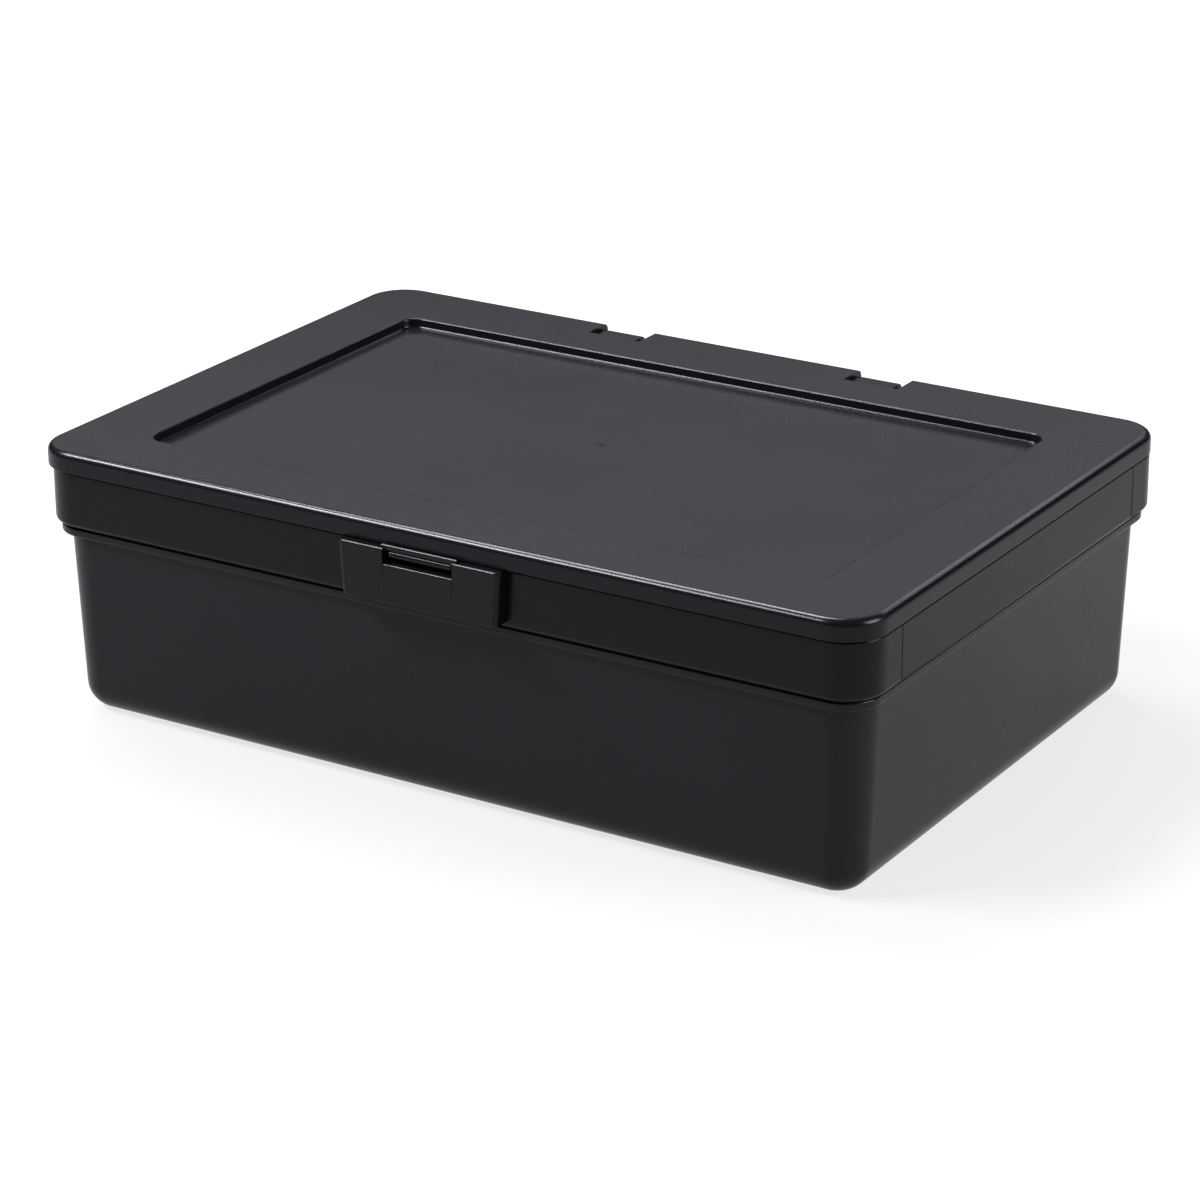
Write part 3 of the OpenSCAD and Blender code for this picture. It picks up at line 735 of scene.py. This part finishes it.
class MakeLatch(Operator):
    """Latch: a plate with a finger window and a bridge on the band, and the lid's sprung catch"""
    bl_idname = "toolbox.make_latch"
    bl_label = "Latch"

    def execute(self, context):
        edge = context.scene.box_shape.plate_edge / MM
        low, high, taper = PLATE_LOW[2], DECK_Z + 0.2, 0.04
        front, rear = PLATE_LOW[1], -BAND[1] + 1.8
        deep = (rear - front) / 2
        rows = ring_rows((PLATE_HALF, deep, 1.8, (rear + front) / 2), rounded_path([
            (deep, low), (0, low, edge), (0, high, edge), (deep, high)]))
        window = notch_stops(WINDOW_HALF)
        grid, kinds = rounded_grid(rows, front=window, rear=window[::-1])
        grid[..., 0] *= 1 - taper * (high - grid[..., 2]) / (high - low)
        sunk = (kinds[None] == NOTCH) & (grid[..., 2] > (low + high) / 2)
        grid[..., 2][sunk] -= high - WINDOW_Z + 0.05
        plate = skin("latch_plate_cover", grid, rows[:, 5], capped=False)
        place(plate, "base", "latch_plastic", latch_finish(), "latch_plate")
        ahead, behind, foot, top = -101.1, -99.8, 80.9, PLATE_HIGH[2]
        bridge = prism("latch_bridge", [
            (ahead, foot, 0.3), (behind, foot, 0.3), (behind, top, 0.3), (ahead, top, 0.5)],
            -WINDOW_HALF - 1, WINDOW_HALF + 1, (2, 0, 1), edge=0.15)
        place(bridge, "base", "latch_plastic", latch_finish())
        stem_y, stem = -95.3, 1.4
        foot, bar = CATCH_LOW[2], CATCH_LOW[2] + 2.3
        catch = prism("latch_catch_bar", [
            (stem_y, foot, 0.6), (stem_y, CATCH_HIGH[2], 0.69), (stem_y - stem, CATCH_HIGH[2], 0.69),
            (stem_y - stem, bar, 0.5), (CATCH_LOW[1], bar, 1.1), (CATCH_LOW[1], foot, 1.1)],
            CATCH_LOW[0], CATCH_HIGH[0], (2, 0, 1), edge=0.3)
        place(catch, "catch", "latch_plastic", latch_finish(), "latch_catch")
        return {"FINISHED"}


class FinishPins(Operator):
    """Hinge pins: the CAD pins, in drawn steel"""
    bl_idname = "toolbox.finish_pins"
    bl_label = "Hinge Pins"

    def execute(self, context):
        made = context.scene.box_finish
        steel = finish("drawn_steel", made.pin, 0.3, 0.5, 4000.0, made.grain * 0.5, 0.0, dust=0.0, metal=1.0)
        for side in ("left", "right"):
            pin = frame["nodes"][f"hinge_pin_{side}"]
            for slot in pin.material_slots:
                slot.link = "OBJECT"
                slot.material = steel
        return {"FINISHED"}


class MakeTray(Operator):
    """Tray: a pan with a hanging rim, a grip wall with a finger slot, and two dividers"""
    bl_idname = "toolbox.make_tray"
    bl_label = "Lift-Out Tray"

    def execute(self, context):
        low, rim, lean = TRAY_LOW[2], TRAY_HIGH[2], 1.0
        rows = np.vstack([
            ring_rows(PAN, rounded_path([(10, low), (lean, low, 4.0), (0, rim - 2.3)])),
            ring_rows(TRAY_RIM, rounded_path([(3.6, rim - 2), (0, rim - 2, 0.3), (0, rim, 0.6), (3.0, rim)])),
            ring_rows(PAN, rounded_path([(0.8, rim), (TRAY_WALL, rim, 0.5),
                                         (TRAY_WALL + lean - 0.05, low + 2, 2.4), (10, low + 2)]))])
        place(stack("tray_pan", rows), "tray", "tray_plastic", tray_finish(), "lift_out_tray")

        top, foot = GRIP_HIGH[2], low + 1.2
        reach = PAN[0] - TRAY_WALL + 0.25
        wall = (reach, (top - foot) / 2, 3.0, (top + foot) / 2)
        slot = (37.0, 8.0, 7.9, 70.2)
        thick = TRAY_WALL / 2
        # these rings lie in an upright plane: width stands for height, and height for thickness along y
        rows = np.vstack([
            ring_rows(wall, rounded_path([(1, -thick), (0, -thick, 0.5), (0, thick, 0.5), (1, thick)])),
            ring_rows(slot, rounded_path([
                (-1.2, thick), (0, thick, 0.6), (0, -thick, 0.6), (-1.2, -thick)]))])
        grid, _ = rounded_grid(rows)
        grid[..., 2] = -(grid[..., 2] - PAN[3])
        place(skin("tray_grip_wall", grid, rows[:, 5], loop=True, order=(0, 2, 1)), "tray", "tray_plastic",
              tray_finish(), "tray_grip")

        for side in ("left", "right"):
            node = f"tray_divider_{side}"
            least, most = box_mm(node)
            front = PAN[3] - PAN[1] + TRAY_WALL - 0.25
            divider = prism(f"tray_divider_wall_{side}", [
                (front, foot, 3.0), (PAN[3], foot, 0.2), (PAN[3], most[2], 0.3), (front, most[2], 0.3)],
                least[0], most[0], (2, 0, 1), edge=0.5)
            place(divider, "tray", "tray_plastic", tray_finish(), node)
        return {"FINISHED"}


# ---------------------------------------------------------------- studio

def area_light(name, spot, size, power):
    """A soft light of the given size (length, width) at spot, turned to face LIGHT_AIM."""
    light = bpy.data.lights.new(name, "AREA")
    light.shape, light.size, light.size_y = "RECTANGLE", size[0], size[1]
    light.energy, light.color = power, LIGHT_COLOUR
    lamp = bpy.data.objects.new(name, light)
    lamp.location = spot
    lamp.rotation_euler = (Vector(LIGHT_AIM) - Vector(spot)).to_track_quat("-Z", "Y").to_euler()
    bpy.context.scene.collection.objects.link(lamp)


class MakeStage(Operator):
    """Studio: pale floor, soft light and the camera"""
    bl_idname = "toolbox.make_stage"
    bl_label = "Studio"

    def execute(self, context):
        scene, studio = context.scene, context.scene.box_studio
        scene.view_settings.view_transform = "Standard"
        line = np.linspace(-FLOOR_HALF, FLOOR_HALF, FLOOR_LINES)
        u, v = np.meshgrid(line, line)
        points = np.stack([u.ravel(), v.ravel(), np.full(u.size, float(CAD_BOUNDS[0].z))], 1)
        index = np.arange(u.size).reshape(u.shape)
        faces = np.stack([index[:-1, :-1], index[:-1, 1:], index[1:, 1:], index[1:, :-1]], -1).reshape(-1, 4)
        mesh = bpy.data.meshes.new("studio_floor")
        mesh.from_pydata(points, [], faces.tolist())
        floor = bpy.data.objects.new("studio_floor", mesh)
        scene.collection.objects.link(floor)
        mesh.materials.append(floor_paper(studio.floor, studio.glow))

        world = scene.world or bpy.data.worlds.new("studio")
        scene.world = world
        room_light(world, studio.room, studio.dim)
        for setting, spot, size in LIGHTS:
            area_light(f"{setting}_light", spot, size, getattr(studio, setting))

        azimuth, elevation, roll = (math.radians(a) for a in (CAMERA_TURN, CAMERA_RISE, CAMERA_ROLL))
        away = Vector((math.sin(azimuth) * math.cos(elevation), -math.cos(azimuth) * math.cos(elevation),
                       math.sin(elevation)))
        across = (-away).cross(Vector((0, 0, 1))).normalized()
        up = across.cross(-away)
        turned = across * math.cos(roll) + up * math.sin(roll)
        risen = up * math.cos(roll) - across * math.sin(roll)
        camera = bpy.data.cameras.new("camera")
        camera.sensor_width, camera.lens = CAMERA_SENSOR, CAMERA_LENS
        camera.shift_x, camera.shift_y = CAMERA_SHIFT
        camera.clip_start, camera.clip_end = 0.01, 50.0
        holder = bpy.data.objects.new("camera", camera)
        holder.matrix_world = Matrix.Translation(Vector(CAMERA_AIM) + away * CAMERA_FAR) @ Matrix(
            (turned, risen, away)).transposed().to_4x4()
        scene.collection.objects.link(holder)
        scene.camera = holder
        return {"FINISHED"}


OPERATORS = (MakeTub, MakeBand, MakeLid, MakeLatch, FinishPins, MakeTray, MakeStage)


class ToolBoxPanel(Panel):
    """Lists the pieces and the settings"""
    bl_idname = "VIEW3D_PT_tool_box"
    bl_label = "Tool Box"
    bl_space_type = "VIEW_3D"
    bl_region_type = "UI"
    bl_category = "Tool Box"

    def draw(self, context):
        for group in (context.scene.box_shape, context.scene.box_finish, context.scene.box_studio):
            column = self.layout.column(align=True)
            # the first two properties of every group are Blender's own
            for setting in group.bl_rna.properties.keys()[2:]:
                column.prop(group, setting)
        for operator in OPERATORS:
            self.layout.operator(operator.bl_idname)


SETTINGS = (("box_shape", BoxShape), ("box_finish", BoxFinish), ("box_studio", BoxStudio))


def register():
    for name, group in SETTINGS:
        bpy.utils.register_class(group)
        setattr(bpy.types.Scene, name, PointerProperty(type=group))
    for made in (*OPERATORS, ToolBoxPanel):
        bpy.utils.register_class(made)


def unregister():
    for made in reversed((*OPERATORS, ToolBoxPanel)):
        bpy.utils.unregister_class(made)
    for name, group in reversed(SETTINGS):
        delattr(bpy.types.Scene, name)
        bpy.utils.unregister_class(group)


def main():
    register()
    for operator in OPERATORS:
        family, step = operator.bl_idname.split(".")
        getattr(getattr(bpy.ops, family), step)()


if __name__ == "__main__":
    main()
